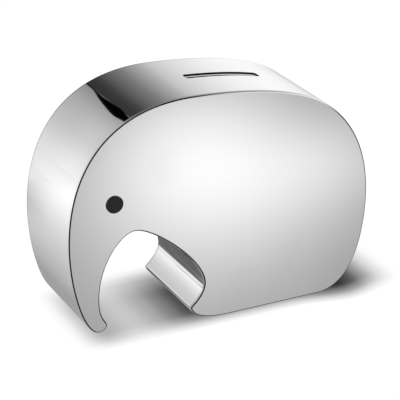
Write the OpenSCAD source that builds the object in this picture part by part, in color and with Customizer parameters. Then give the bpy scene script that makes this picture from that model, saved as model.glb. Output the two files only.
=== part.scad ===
// Elephant coin bank: two flat side plates with a polished sheet-metal band bent round
// their edge, a coin slot in the back and a rubber stopper in the base.
// Origin: on the resting surface, under the middle of the body. The head faces -X.

/* [Body] */
// Length from the brow to the rump
body_l = 145; // [120:1:176]
// Height from the base to the top of the back
body_h = 106; // [88:1:128]
// Width over the two side plates
body_w = 48; // [40:1:58]

/* [Sheet metal] */
// Thickness of the side plates
plate_t = 1.2; // [0.8:0.1:1.6]
// Thickness of the bands between the side plates
band_t = 1; // [0.8:0.1:1.4]

/* [Head and trunk] */
// Height of the foremost point of the head
brow_z = 46.7; // [40:0.1:52]
// Distance of the highest point behind the brow
crown_x = 56; // [48:0.5:64]
// Distance of the lowest point of the trunk behind the brow
tip_x = 12.9; // [11:0.1:14.5]
// Height of the lowest point of the trunk above the base
tip_z = 5.3; // [3:0.1:6]
// Distance of the trunk's heel behind the brow
heel_x = 16.8; // [16:0.1:19]
// Height of the trunk's heel above the base
heel_z = 8; // [7.5:0.1:9.5]
// Distance of the trunk's inner side behind the brow
trunk_x = 13.5; // [12.5:0.1:15]
// Height where the trunk's inner side is steepest
trunk_z = 20; // [17:0.5:23]

/* [Arch and foot] */
// Distance between the trunk and the leg, at the widest place of the arch
arch_w = 49.9; // [42:0.1:58]
// Distance of the arch's highest point behind the trunk's inner side
arch_x = 17.2; // [14:0.1:20]
// Height of the arch
arch_z = 49.6; // [42:0.1:56]
// Height where the leg is steepest
leg_z = 18.1; // [16:0.1:21]
// Distance that the toe reaches in front of the leg
toe_reach = 6.8; // [5.5:0.1:8]
// Height of the toe's edge
toe_z = 7.3; // [6:0.1:8.5]

/* [Rear] */
// Height of the rearmost point
rump_z = 44.5; // [38:0.5:52]
// Distance of the hip in front of the rump
hip_in = 27.9; // [23:0.1:33]
// Distance of the hip below the top of the back
hip_drop = 10.7; // [9:0.1:13]
// Slope of the back at the hip, from the forward direction
hip_slope = 27; // [22:1:32]
// Distance of the base's middle in front of the belly's middle
base_forward = 5.8; // [4:0.1:7]

/* [Coin slot] */
// Length of the slot, seen from above
slot_l = 35; // [29:0.5:42]
// Clear width of the slot
slot_w = 4.4; // [3.6:0.1:5.3]
// Distance of the slot's middle behind the highest point
slot_back = 27.5; // [24:0.5:30]
// Corner radius of the slot
slot_r = 0.8; // [0.4:0.1:1.5]
// Thickness of the turned-in lip round the slot
lip_t = 0.8; // [0.5:0.1:1.2]
// Depth of the turned-in lip, from the outer surface
lip_d = 3; // [2:0.1:4]

/* [Stopper] */
// Largest radius of the stopper
stopper_r = 17.2; // [14:0.1:20.7]
// Gap between the stopper and its seat, on the radius
stopper_gap = 0.05; // [0.02:0.01:0.1]
// Height of the stopper
stopper_h = 7.6; // [6.5:0.1:9.2]
// Distance that the stopper stays above the base
stopper_recess = 1.2; // [0.8:0.1:2]
// Depth of the grooves between the stopper's sealing ribs
groove_d = 0.6; // [0.3:0.1:0.8]
// Radius of the finger dish in the stopper
dish_r = 12.6; // [10.5:0.1:13.2]
// Depth of the finger dish
dish_d = 4.6; // [4:0.1:5.2]
// Width of the grip bar across the finger dish
bar_w = 3.6; // [3:0.1:4.4]

/* [Stopper seat] */
// Wall thickness of the seat
seat_t = 1; // [0.8:0.1:1.4]
// Distance that the seat's wall rises above the stopper
seat_over = 0.4; // [0:0.1:1]
// Width of the seat's flange
flange_w = 2.2; // [1.5:0.1:3]
// Gap between the seat and the hole in the base
seat_gap = 0.05; // [0.02:0.01:0.2]
// Flat metal left round the seat's flange
base_margin = 1.5; // [1:0.1:3]

/* [Eyes] */
// Distance of the eyes behind the brow
eye_x = 21.3; // [18:0.1:25]
// Height of the eyes
eye_z = 64; // [58:0.5:70]
// Radius of the eye
eye_r = 3.9; // [3.2:0.1:4.7]
// Distance that the eye stands out of the plate
eye_h = 0.7; // [0.5:0.1:1]
// Width of the chamfer round the eye
eye_chamfer = 0.35; // [0.2:0.05:0.45]
// Radius of the eye's shank
shank_r = 2.4; // [2:0.1:2.9]
// Length of the shank inside the washer
shank_end = 0.8; // [0.5:0.1:2]
// Gap between the shank and its hole, on the radius
shank_gap = 0.05; // [0.02:0.01:0.1]
// Radius of the retaining washer
washer_r = 4.3; // [3.6:0.1:5.2]
// Thickness of the retaining washer
washer_t = 0.6; // [0.4:0.1:1]

/* [Hidden] */
LEFT = -1;
RIGHT = 1;
CUT = 1;                                    // how far a cutting solid runs past a face
STEEL = [0.80, 0.81, 0.82];
SEAT_STEEL = [0.66, 0.67, 0.68];
RUBBER = [0.08, 0.08, 0.085];
EYE_BLACK = [0.03, 0.03, 0.035];
$fn = 96;

inner_w = body_w - 2 * plate_t;
seat_bore_r = stopper_r + stopper_gap;
seat_r = seat_bore_r + seat_t;
flange_r = seat_r + flange_w;
base_hole_r = seat_r + seat_gap;
seat_bottom = 0.2;                          // keeps the seat's edge off the resting surface
seat_top = stopper_recess + stopper_h + seat_over;
shank_hole_r = shank_r + shank_gap;

// Stations of the outline, as [distance behind the brow, height]
leg_x = trunk_x + arch_w;
base_x = (leg_x + body_l) / 2 - base_forward;
base_half = flange_r + base_margin;
toe = [leg_x - toe_reach, toe_z];
base_front = [base_x - base_half, 0];
base_rear = [base_x + base_half, 0];
rump = [body_l, rump_z];
hip = [body_l - hip_in, body_h - hip_drop];
crown = [crown_x, body_h];
brow = [0, brow_z];
tip = [tip_x, tip_z];
heel = [heel_x, heel_z];
trunk = [trunk_x, trunk_z];
arch = [trunk_x + arch_x, arch_z];
leg = [leg_x, leg_z];

// Headings in degrees from the rearward direction. The outline runs from the toe along the
// base, up the rump, over the back and down the trunk, then round the arch to the toe.
REARWARD = 0;
UP = 90;
FORWARD = 180;
DOWN = 270;
FORWARD_UP = FORWARD - hip_slope;
TOE_DOWN = -80;
TOE_FORWARD = -139;

// Each run: start, heading there, its pull, end, heading there, its pull, number of chords.
// A pull is the share of the way across, up or along the run that its heading is held for.
back_runs = [
    [toe, TOE_DOWN, 0.34, base_front, REARWARD, 0.26, 7],
    [base_front, REARWARD, 0.3, base_rear, REARWARD, 0.3, 1],
    [base_rear, REARWARD, 0.9, rump, UP, 0.26, 14],
    [rump, UP, 0.6, hip, FORWARD_UP, 0.22, 14],
    [hip, FORWARD_UP, 0.35, crown, FORWARD, 0.1, 12],
    [crown, FORWARD, 0.74, brow, DOWN, 0.52, 20],
    [brow, DOWN, 0.46, tip, REARWARD, 0.52, 14]
];
arch_runs = [
    [tip, REARWARD, 0.31, heel, UP, 0.76, 6],
    [heel, UP, 0.2, trunk, UP, 0.75, 6],
    [trunk, UP, 0.54, arch, REARWARD, 0.42, 12],
    [arch, REARWARD, 0.25, leg, DOWN, 0.35, 14],
    [leg, DOWN, 0.51, toe, TOE_FORWARD, 0.11, 8]
];

function heading(angle) = [cos(angle), sin(angle)];
function inward(way) = [-way.y, way.x] / norm(way);
function reach(angle, from, to) =
    angle % 180 == 0 ? abs(to.x - from.x) :
    angle % 90 == 0 ? abs(to.y - from.y) : norm(to - from);
function handles(run) = [
    run[0],
    run[0] + run[2] * reach(run[1], run[0], run[3]) * heading(run[1]),
    run[3] - run[5] * reach(run[4], run[0], run[3]) * heading(run[4]),
    run[3]
];
function on_curve(h, t) =
    pow(1 - t, 3) * h[0] + 3 * pow(1 - t, 2) * t * h[1] + 3 * (1 - t) * t * t * h[2] + pow(t, 3) * h[3];
function way_along(h, t) =
    pow(1 - t, 2) * (h[1] - h[0]) + 2 * (1 - t) * t * (h[2] - h[1]) + t * t * (h[3] - h[2]);
function inset(h, t, depth) = on_curve(h, t) + depth * inward(way_along(h, t));

// Points of some runs, moved inwards by depth, without the end of the last run
function line_of(runs, depth) = [
    for (run = runs, i = [0 : run[6] - 1]) inset(handles(run), i / run[6], depth)
];
function end_of(runs, depth) = inset(handles(runs[len(runs) - 1]), 1, depth);
function reversed(points) = [for (i = [len(points) - 1 : -1 : 0]) points[i]];
function without_first(points) = [for (i = [1 : len(points) - 1]) points[i]];

// Inner corner of the mitre where the two bands meet at the toe
toe_normals = [inward(heading(TOE_DOWN)), inward(heading(TOE_FORWARD))];
function toe_mitre(depth) =
    toe + depth * (toe_normals[0] + toe_normals[1]) / (1 + toe_normals[0] * toe_normals[1]);

function back_section(depth) = concat(
    line_of(back_runs, 0), [end_of(back_runs, 0), end_of(back_runs, depth)],
    reversed(without_first(line_of(back_runs, depth))), [toe_mitre(depth)]
);
function arch_section(depth) = concat(
    line_of(arch_runs, 0), [toe, toe_mitre(depth)], reversed(line_of(arch_runs, depth))
);

function rounded_rectangle(l, w, r) = [
    for (corner = [[1, 1, 0], [-1, 1, 90], [-1, -1, 180], [1, -1, 270]], a = [0 : 22.5 : 90])
        [corner.x * (l / 2 - r), corner.y * (w / 2 - r)] + r * heading(corner.z + a)
];

// An outline set upright and as wide as w, from the brow rearwards
module upright(w) {
    translate([-body_l / 2, w / 2, 0]) rotate([90, 0, 0]) linear_extrude(w) children();
}

// Turns a shape that stands on the XY plane so that it points out of one side plate's
// outer face, at the eye
module at_eye(side) {
    translate([eye_x - body_l / 2, side * body_w / 2, eye_z]) rotate([-side * 90, 0, 0]) children();
}

module side_plate(side) {
    color(STEEL) difference() {
        translate([0, side * (body_w - plate_t) / 2, 0]) upright(plate_t)
            polygon(concat(line_of(back_runs, 0), line_of(arch_runs, 0)));
        at_eye(side) translate([0, 0, -plate_t - CUT]) cylinder(r = shank_hole_r, h = plate_t + 2 * CUT);
    }
}

module over_slot(l, w, r) {
    translate([crown_x + slot_back - body_l / 2, 0, body_h / 2]) linear_extrude(body_h)
        polygon(rounded_rectangle(l, w, r));
}

module over_stopper() {
    translate([base_x - body_l / 2, 0, 0]) children();
}

module back_band() {
    color(STEEL) difference() {
        union() {
            upright(inner_w) polygon(back_section(band_t));
            intersection() {
                upright(inner_w) polygon(back_section(lip_d));
                over_slot(slot_l + 2 * lip_t, slot_w + 2 * lip_t, slot_r + lip_t);
            }
        }
        over_slot(slot_l, slot_w, slot_r);
        over_stopper() translate([0, 0, -CUT]) cylinder(r = base_hole_r, h = band_t + 2 * CUT);
    }
}

module arch_band() {
    color(STEEL) upright(inner_w) polygon(arch_section(band_t));
}

module stopper_seat() {
    color(SEAT_STEEL) intersection() {
        over_stopper() rotate_extrude() polygon([
            [seat_bore_r, seat_bottom], [seat_r, seat_bottom], [seat_r, band_t],
            [flange_r, band_t], [flange_r, band_t + seat_t], [seat_r, band_t + seat_t],
            [seat_r, seat_top], [seat_bore_r, seat_top]
        ]);
        translate([-body_l, -inner_w / 2, 0]) cube([2 * body_l, inner_w, body_h]);
    }
}

module stopper() {
    core_r = stopper_r - groove_d;
    head_t = 1.6;
    rib_t = 0.6;
    rib_pitch = (stopper_h - head_t) / 3;
    color(RUBBER) over_stopper() translate([0, 0, stopper_recess]) difference() {
        rotate_extrude() polygon(concat(
            [[0, 0], [stopper_r - groove_d / 2, 0], [stopper_r, groove_d / 2], [stopper_r, head_t]],
            [for (i = [0 : 1], edge = [[-1, 0], [0, 1], [1, 1], [2, 0]])
                [core_r + groove_d * edge.y, head_t + (i + 0.7) * rib_pitch + rib_t * edge.x]],
            [[core_r, stopper_h - groove_d], [core_r - groove_d, stopper_h], [0, stopper_h]]
        ));
        difference() {
            translate([0, 0, -CUT]) cylinder(r = dish_r, h = dish_d + CUT);
            translate([-bar_w / 2, -stopper_r, -2 * CUT]) cube([bar_w, 2 * stopper_r, stopper_h]);
        }
    }
}

module eye(side) {
    color(EYE_BLACK) at_eye(side) rotate_extrude() polygon([
        [0, -plate_t - washer_t - shank_end], [shank_r, -plate_t - washer_t - shank_end], [shank_r, 0],
        [eye_r, 0], [eye_r, eye_h - eye_chamfer], [eye_r - eye_chamfer, eye_h], [0, eye_h]
    ]);
}

module eye_washer(side) {
    color(SEAT_STEEL) at_eye(side) translate([0, 0, -plate_t - washer_t]) difference() {
        cylinder(r = washer_r, h = washer_t);
        translate([0, 0, -CUT]) cylinder(r = shank_hole_r, h = washer_t + 2 * CUT);
    }
}

side_plate(LEFT);  // left_side_plate
side_plate(RIGHT);  // right_side_plate
back_band();
arch_band();
stopper_seat();
stopper();
eye(LEFT);  // left_eye
eye(RIGHT);  // right_eye
eye_washer(LEFT);  // left_eye_washer
eye_washer(RIGHT);  // right_eye_washer
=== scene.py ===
"""Elephant coin bank: mirror-polished sheet steel round two flat side plates, with a coin slot,
black eyes and a rubber stopper in the base. Lengths in the tables are in millimetres."""

import math
from collections import namedtuple
from functools import partial

import bmesh
import bpy
from bpy.props import FloatProperty, FloatVectorProperty, IntProperty, PointerProperty
from mathutils import Euler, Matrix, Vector
from mathutils.geometry import tessellate_polygon


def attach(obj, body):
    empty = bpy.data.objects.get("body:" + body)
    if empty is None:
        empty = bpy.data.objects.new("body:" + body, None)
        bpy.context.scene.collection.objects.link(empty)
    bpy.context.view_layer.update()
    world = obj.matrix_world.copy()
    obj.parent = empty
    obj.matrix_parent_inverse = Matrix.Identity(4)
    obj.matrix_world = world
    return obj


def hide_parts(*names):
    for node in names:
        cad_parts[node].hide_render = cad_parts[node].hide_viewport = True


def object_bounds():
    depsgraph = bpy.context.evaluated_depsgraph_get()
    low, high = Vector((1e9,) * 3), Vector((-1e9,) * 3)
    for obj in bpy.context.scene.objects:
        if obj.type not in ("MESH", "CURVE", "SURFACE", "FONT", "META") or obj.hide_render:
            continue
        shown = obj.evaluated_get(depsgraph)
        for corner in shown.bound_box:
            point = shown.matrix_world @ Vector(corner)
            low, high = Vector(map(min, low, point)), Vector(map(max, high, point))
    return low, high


bl_info = {
    "name": "Elephant Coin Bank",
    "version": (1, 0, 0),
    "blender": (4, 5, 0),
    "location": "3D View > Sidebar > Coin Bank",
    "description": "Builds a polished steel elephant coin bank with its slot, eyes and stopper",
    "category": "Add Mesh",
}

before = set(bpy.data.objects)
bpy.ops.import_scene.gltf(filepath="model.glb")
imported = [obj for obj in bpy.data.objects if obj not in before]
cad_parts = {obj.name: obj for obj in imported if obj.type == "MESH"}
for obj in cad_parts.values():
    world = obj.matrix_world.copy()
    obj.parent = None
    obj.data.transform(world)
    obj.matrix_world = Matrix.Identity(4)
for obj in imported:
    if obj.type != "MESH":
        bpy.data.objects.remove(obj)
CAD_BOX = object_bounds()

MM = 0.001
LEFT = -1
RIGHT = 1
X_AXIS = Vector((1, 0, 0))
Y_AXIS = Vector((0, 1, 0))
Z_AXIS = Vector((0, 0, 1))

# Body, in millimetres. The brow is at the front end of the body's length.
HALF_LENGTH = (CAD_BOX[1].x - CAD_BOX[0].x) / 2 / MM
PLATE_FACE_Y = 24.0
PLATE_THICKNESS = 1.2
PLATE_INNER_Y = PLATE_FACE_Y - PLATE_THICKNESS
BAND_THICKNESS = 1.0
BAND_HALF_WIDTH = PLATE_INNER_Y - 0.01

# Stations of the outline: distance behind the brow, height.
TOE = (56.6, 7.3)
BASE_FRONT = (76.45, 0.0)
BASE_REAR = (120.35, 0.0)
RUMP = (145.0, 44.5)
HIP = (117.1, 95.3)
CROWN = (56.0, 106.0)
BROW = (0.0, 46.7)
TIP = (12.9, 5.3)
HEEL = (16.8, 8.0)
TRUNK = (13.5, 20.0)
ARCH = (30.7, 49.6)
LEG = (63.4, 18.1)

# Start, heading there in degrees, its pull, end, heading there, its pull, number of steps.
BACK_RUNS = (
    (TOE, -80, 0.34, BASE_FRONT, 0, 0.26, 28),
    (BASE_FRONT, 0, 0.3, BASE_REAR, 0, 0.3, 1),
    (BASE_REAR, 0, 0.9, RUMP, 90, 0.26, 52),
    (RUMP, 90, 0.6, HIP, 153, 0.22, 48),
    (HIP, 153, 0.35, CROWN, 180, 0.1, 56),
    (CROWN, 180, 0.74, BROW, 270, 0.52, 80),
    (BROW, 270, 0.46, TIP, 0, 0.52, 56),
)
ARCH_RUNS = (
    (TIP, 0, 0.31, HEEL, 90, 0.76, 20),
    (HEEL, 90, 0.2, TRUNK, 90, 0.75, 20),
    (TRUNK, 90, 0.54, ARCH, 0, 0.42, 44),
    (ARCH, 0, 0.25, LEG, 270, 0.35, 48),
    (LEG, 270, 0.51, TOE, -139, 0.11, 28),
)
SLOT_RUN = 4
TOE_FOLD = 0.7                  # distance from the toe's corner where its folded edge begins
TOE_FOLD_STEPS = 8

# Coin slot
SLOT_CENTRE_X = 11.0
SLOT_HALF_LENGTH = 17.5
SLOT_HALF_WIDTH = 2.2
SLOT_CORNER = 0.8
LIP_THICKNESS = 0.8
LIP_DEPTH = 3.0
LIP_HOLLOW = 0.15               # hollow under the rolled edge, which catches the light
LIP_HOLLOW_TOP = 0.90
LIP_HOLLOW_FOOT = 1.28
SLOT_CLEARANCE = 0.5            # flat metal kept between the rolled edge and the cut round it

# Base
BASE_CENTRE_X = 25.9
BASE_HOLE_RADIUS = 18.3
SEAT_BORE_RADIUS = 17.25
SEAT_RADIUS = 18.25
FLANGE_RADIUS = 20.45
SEAT_BOTTOM = 0.2
SEAT_TOP = 9.2
STOPPER_RADIUS = 17.2
STOPPER_BOTTOM = 1.2
STOPPER_HEIGHT = 7.6
STOPPER_HEAD = 1.6
GROOVE_DEPTH = 0.6
RIB_WIDTH = 0.6
RIB_COUNT = 2
DISH_RADIUS = 12.6
DISH_DEPTH = 4.6
BAR_HALF_WIDTH = 1.8
BAR_BOTTOM = 0.35

# Eyes
EYE_X = -51.2
EYE_Z = 64.0
EYE_RADIUS = 3.9
EYE_HEIGHT = 0.7
SHANK_RADIUS = 2.4
SHANK_HOLE_RADIUS = 2.45
SHANK_END = 0.8
WASHER_RADIUS = 4.3
WASHER_THICKNESS = 0.6
WASHER_BORE = 3.1
WASHER_EDGE = 0.12
TAB_BOTTOM = 0.12
TAB_THICKNESS = 0.3
HOLE_STEPS = 48


def length(name, description, default, low, high):
    return FloatProperty(
        name=name, description=description, default=default * MM, min=low * MM, max=high * MM,
        unit="LENGTH", precision=5)


def colour(name, description, default):
    return FloatVectorProperty(
        name=name, description=description, default=default, min=0, max=1, subtype="COLOR")


class BankSizes(bpy.types.PropertyGroup):
    """Small sizes that shape how the edges of the pieces look"""

    plate_edge: length("Plate edge", "Radius of the side plates' outer edge", 0.8, 0.1, 0.9)
    seam_edge: length("Seam edge", "Radius of the edges that meet along each seam", 0.12, 0.05, 0.3)
    slot_roll: length("Slot roll", "Radius that the slot's edge is rolled in by", 0.4, 0.2, 0.8)
    eye_edge: length("Eye edge", "Radius of the eyes' rounded edge", 0.35, 0.1, 0.5)
    rubber_edge: length("Rubber edge", "Radius of the stopper's moulded edges", 0.25, 0.05, 0.28)
    washer_tabs: IntProperty(
        name="Washer tabs", description="Number of spring tabs in each eye washer",
        default=6, min=3, max=12)


class BankFinish(bpy.types.PropertyGroup):
    """Colours and surface finish of the metal, rubber and plastic"""

    steel: colour("Steel", "Colour of the polished steel", (0.90, 0.90, 0.90))
    # Near-black, so that it paints shade: the dark lines along the plates' rounded edges and inside the
    # coin slot.
    cut_edge_and_shade: colour("Cut edge", "Colour of the sheared sheet edges", (0.020, 0.020, 0.021))
    drawn_steel: colour("Drawn steel", "Colour of the seat and washers", (0.62, 0.63, 0.64))
    rubber: colour("Rubber", "Colour of the stopper", (0.018, 0.018, 0.019))
    eye: colour("Eye plastic", "Colour of the eyes", (0.0045, 0.0045, 0.005))
    mirror_roughness: FloatProperty(
        name="Mirror roughness", description="Roughness of the polished steel",
        default=0.02, min=0, max=0.3, subtype="FACTOR")


Station = namedtuple("Station", "at out up")
Edge = namedtuple("Edge", "start end start_normal end_normal finish")


# ---------------------------------------------------------------- outline

def heading(angle):
    return Vector((math.cos(math.radians(angle)), math.sin(math.radians(angle))))


def reach(angle, start, end):
    across = end - start
    if angle % 180 == 0:
        return abs(across.x)
    if angle % 90 == 0:
        return abs(across.y)
    return across.length


def handles(run):
    start = Vector(run[0])
    end = Vector(run[3])
    return (
        start,
        start + run[2] * reach(run[1], start, end) * heading(run[1]),
        end - run[5] * reach(run[4], start, end) * heading(run[4]),
        end,
    )


def on_curve(h, t):
    s = 1 - t
    return s ** 3 * h[0] + 3 * s * s * t * h[1] + 3 * s * t * t * h[2] + t ** 3 * h[3]


def way_along(h, t):
    s = 1 - t
    return s * s * (h[1] - h[0]) + 2 * s * t * (h[2] - h[1]) + t * t * (h[3] - h[2])


def inward(way):
    return Vector((-way.y, way.x)).normalized()


def outline_point(point, normal):
    """A place on the outline and its inward direction, in the frame's axes and millimetres."""
    return Vector((point.x - HALF_LENGTH, 0, point.y)), Vector((normal.x, 0, normal.y))


def bisected(holds):
    """The curve parameter up to which a test holds."""
    low, high = 0.0, 1.0
    for _ in range(40):
        middle = (low + high) / 2
        if holds(middle):
            low = middle
        else:
            high = middle
    return (low + high) / 2


def share_at_distance(h, distance, from_end):
    """The curve parameter a given distance from one end of a run."""
    corner = h[3] if from_end else h[0]
    return bisected(lambda t: ((on_curve(h, t) - corner).length > distance) == from_end)


def run_points(run, first=0.0, last=1.0):
    h = handles(run)
    steps = run[6]
    shares = [first + (last - first) * i / steps for i in range(steps + 1)]
    return [outline_point(on_curve(h, t), inward(way_along(h, t))) for t in shares]


def toe_fold():
    """The folded edge at the toe, as points from the arch side to the base side."""
    before = handles(ARCH_RUNS[-1])
    after = handles(BACK_RUNS[0])
    t_before = share_at_distance(before, TOE_FOLD, True)
    t_after = share_at_distance(after, TOE_FOLD, False)
    a, b = on_curve(before, t_before), on_curve(after, t_after)
    normal_a = inward(way_along(before, t_before))
    normal_b = inward(way_along(after, t_after))
    corner = Vector(TOE)
    found = []
    for i in range(TOE_FOLD_STEPS + 1):
        t = i / TOE_FOLD_STEPS
        point = (1 - t) ** 2 * a + 2 * (1 - t) * t * corner + t * t * b
        found.append(outline_point(point, normal_a.lerp(normal_b, t).normalized()))
    return found, t_before, t_after


def joined(runs):
    """Runs of points joined into one line, without the doubled points between them."""
    line = list(runs[0])
    for run in runs[1:]:
        line += run[1:]
    return line


def outline():
    """The back line from the toe to the trunk's tip, and the arch line from there to the toe."""
    fold, t_before, t_after = toe_fold()
    middle = TOE_FOLD_STEPS // 2
    back = [fold[middle:], run_points(BACK_RUNS[0], first=t_after)]
    back += [run_points(run) for run in BACK_RUNS[1:]]
    arch = [run_points(run) for run in ARCH_RUNS[:-1]]
    arch += [run_points(ARCH_RUNS[-1], last=t_before), fold[: middle + 1]]
    return joined(back), joined(arch)


def top_at(x):
    """Height and outward normal of the back at a place near the coin slot."""
    h = handles(BACK_RUNS[SLOT_RUN])
    t = bisected(lambda t: on_curve(h, t).x - HALF_LENGTH > x)
    normal = -inward(way_along(h, t))
    return on_curve(h, t).y, Vector((normal.x, 0, normal.y))


# ---------------------------------------------------------------- paths and sections

def outline_path(line, side=RIGHT):
    """Stations along an outline: a section's first axis points into the body, its second along Y."""
    return [Station(at, into, side * Y_AXIS) for at, into in line]


def circle_path(centre, first, second, up, steps):
    """Stations round an axis, the last one on the first. A section's first axis is the radius."""
    turns = [2 * math.pi * (i % steps) / steps for i in range(steps + 1)]
    return [Station(centre, math.cos(t) * first + math.sin(t) * second, up) for t in turns]


def section(corners, closed=True, round_steps=6, painted_shade_arc=None):
    """Edges of a section from its corners (across, up, radius, finish), with its solid side on the
    left. A corner with a radius becomes an arc, and its last two values are 0 if left out. The
    finish is that of the edge that follows. A painted_shade_arc gives the finish of part of each
    arc, and the shares of the arc where that part starts and ends: a dark finish there paints a
    shaded line along the rounded edge."""
    corners = [(*corner, 0, 0)[:4] for corner in corners]
    count = len(corners)
    points = [Vector(c[:2]) for c in corners]
    cuts = []
    for i, at in enumerate(points):
        radius = corners[i][2]
        if radius == 0 or (not closed and i in (0, count - 1)):
            cuts.append((at, at, None))
            continue
        before = (at - points[i - 1]).normalized()
        after = (points[(i + 1) % count] - at).normalized()
        turn = before.angle_signed(after)
        length = abs(radius * math.tan(turn / 2))
        cuts.append((at - before * length, at + after * length, (before, after)))
    found = []

    def straight(a, b, finish):
        if (b - a).length > 1e-6:
            normal = right_of(b - a)
            found.append(Edge(a, b, normal, normal, finish))

    for i in range(count):
        begin, end, ways = cuts[i]
        if ways is not None:
            arc = arc_edges(begin, end, ways, corners[i - 1][3], round_steps)
            if painted_shade_arc is not None:
                dark, first, last = painted_shade_arc
                for step in range(round(first * round_steps), round(last * round_steps)):
                    arc[step] = arc[step]._replace(finish=dark)
            found.extend(arc)
        if closed or i < count - 1:
            straight(end, cuts[(i + 1) % count][0], corners[i][3])
    return found


def right_of(way):
    return Vector((way.y, -way.x)).normalized()


def arc_edges(begin, end, ways, finish, steps):
    normal_a, normal_b = right_of(ways[0]), right_of(ways[1])
    turn = normal_a.angle_signed(normal_b)
    radius = (end - begin).length / (2 * abs(math.sin(turn / 2)))
    bulge = 1 if turn < 0 else -1
    centre = begin - bulge * radius * normal_a
    places = []
    for i in range(steps + 1):
        angle = -turn * i / steps
        normal = Vector((
            normal_a.x * math.cos(angle) - normal_a.y * math.sin(angle),
            normal_a.x * math.sin(angle) + normal_a.y * math.cos(angle),
        ))
        places.append((centre + bulge * radius * normal, normal))
    places[-1] = (end, normal_b)
    return [Edge(a[0], b[0], a[1], b[1], finish) for a, b in zip(places, places[1:])]


# ---------------------------------------------------------------- nodes

def give(tree, value, socket):
    """Wires a socket to an input, or sets the input to a value."""
    if isinstance(value, bpy.types.NodeSocket):
        tree.links.new(value, socket)
    else:
        socket.default_value = value


def put(tree, kind, inputs=(), **settings):
    """A node with its settings, and the inputs that are wired or set, by name or by number."""
    node = tree.nodes.new(kind)
    for key, value in settings.items():
        setattr(node, key, value)
    for key, value in dict(inputs).items():
        give(tree, value, node.inputs[key])
    return node


def math_node(tree, operation, *values):
    return put(tree, "ShaderNodeMath", enumerate(values), operation=operation).outputs[0]


def new_tree(name, kind, inputs, outputs):
    """An empty node group with its sockets, what comes into it and what goes out of it."""
    tree = bpy.data.node_groups.new(name, kind)
    for label, socket, *default in inputs:
        made = tree.interface.new_socket(label, in_out="INPUT", socket_type="NodeSocket" + socket)
        if default:
            made.default_value = default[0]
    for label, socket in outputs:
        tree.interface.new_socket(label, in_out="OUTPUT", socket_type="NodeSocket" + socket)
    return tree, tree.nodes.new("NodeGroupInput").outputs, tree.nodes.new("NodeGroupOutput").inputs


def shared_tree(name):
    """Marks a function that builds a node group, so that it is built once and then found by name."""
    def mark(build):
        return lambda: bpy.data.node_groups.get(name) or build(name)
    return mark


def painted(tree, geometry, finish, target):
    """Ends a geometry tree: its instances are made real and get their material."""
    real = put(tree, "GeometryNodeRealizeInstances", {0: geometry})
    paint = put(tree, "GeometryNodeSetMaterial", {"Geometry": real.outputs[0], "Material": finish})
    give(tree, paint.outputs[0], target)


@shared_tree("Section carried along a path")
def carry_tree(name):
    """Carries a section along a path of stations and skins it with a grid."""
    tree, given, result = new_tree(
        name, "GeometryNodeTree",
        (("Path", "Geometry"), ("Section", "Object"), ("Finish", "Material")),
        (("Skin", "Geometry"),))
    path = given["Path"]
    shape = put(tree, "GeometryNodeObjectInfo", {"Object": given["Section"]}).outputs["Geometry"]
    stations, rows = (
        put(tree, "GeometryNodeAttributeDomainSize", {"Geometry": geometry}, component="MESH")
        .outputs["Point Count"] for geometry in (path, shape))
    grid = put(tree, "GeometryNodeMeshGrid", {"Vertices X": stations, "Vertices Y": rows})
    index = put(tree, "GeometryNodeInputIndex").outputs[0]
    station, row = (
        put(tree, "FunctionNodeIntegerMath", {0: index, 1: rows}, operation=operation).outputs[0]
        for operation in ("DIVIDE_FLOOR", "MODULO"))
    position = put(tree, "GeometryNodeInputPosition").outputs[0]

    def sampled(geometry, value, place):
        return put(
            tree, "GeometryNodeSampleIndex",
            {"Geometry": geometry, "Value": value, "Index": place},
            data_type="FLOAT_VECTOR").outputs["Value"]

    at = sampled(path, position, station)
    offset = put(tree, "ShaderNodeSeparateXYZ", {0: sampled(shape, position, row)}).outputs
    for axis_name, amount in (("out", offset["X"]), ("up", offset["Y"])):
        named = put(
            tree, "GeometryNodeInputNamedAttribute", {"Name": axis_name}, data_type="FLOAT_VECTOR")
        axis = sampled(path, named.outputs["Attribute"], station)
        step = put(tree, "ShaderNodeVectorMath", {0: axis, "Scale": amount}, operation="SCALE")
        at = put(tree, "ShaderNodeVectorMath", {0: at, 1: step.outputs[0]}, operation="ADD").outputs[0]
    move = put(tree, "GeometryNodeSetPosition", {"Geometry": grid.outputs["Mesh"], "Position": at})
    painted(tree, move.outputs[0], given["Finish"], result["Skin"])
    return tree


@shared_tree("Tabs round a washer")
def tabs_tree(name):
    """Sets spring tabs round a washer's hole."""
    tree, given, result = new_tree(
        name, "GeometryNodeTree",
        (("Tab", "Geometry"), ("Count", "Int", 6), ("Finish", "Material")), (("Tabs", "Geometry"),))
    places = put(tree, "GeometryNodeMeshLine", {"Offset": (0, 0, 0), "Count": given["Count"]})
    index = put(tree, "GeometryNodeInputIndex").outputs[0]
    pitch = math_node(tree, "DIVIDE", 2 * math.pi, given["Count"])
    angles = put(tree, "ShaderNodeCombineXYZ", {"Y": math_node(tree, "MULTIPLY", index, pitch)})
    spread = put(tree, "GeometryNodeInstanceOnPoints", {
        "Points": places.outputs["Mesh"], "Instance": given["Tab"], "Rotation": angles.outputs[0]})
    painted(tree, spread.outputs[0], given["Finish"], result["Tabs"])
    return tree


def evaluated_mesh(holder, tree, values):
    """The mesh that a node tree makes from an object, as plain data. The object is then removed."""
    modifier = holder.modifiers.new("Shape", "NODES")
    modifier.node_group = tree
    ids = {
        item.name: item.identifier for item in tree.interface.items_tree
        if item.item_type == "SOCKET" and item.in_out == "INPUT"}
    for name, value in values.items():
        modifier[ids[name]] = value
    bpy.context.view_layer.update()
    ready = bpy.context.evaluated_depsgraph_get()
    mesh = bpy.data.meshes.new_from_object(holder.evaluated_get(ready))
    bpy.data.objects.remove(holder)
    return mesh


def linked_object(name, data):
    made = bpy.data.objects.new(name, data)
    bpy.context.scene.collection.objects.link(made)
    return made


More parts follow.
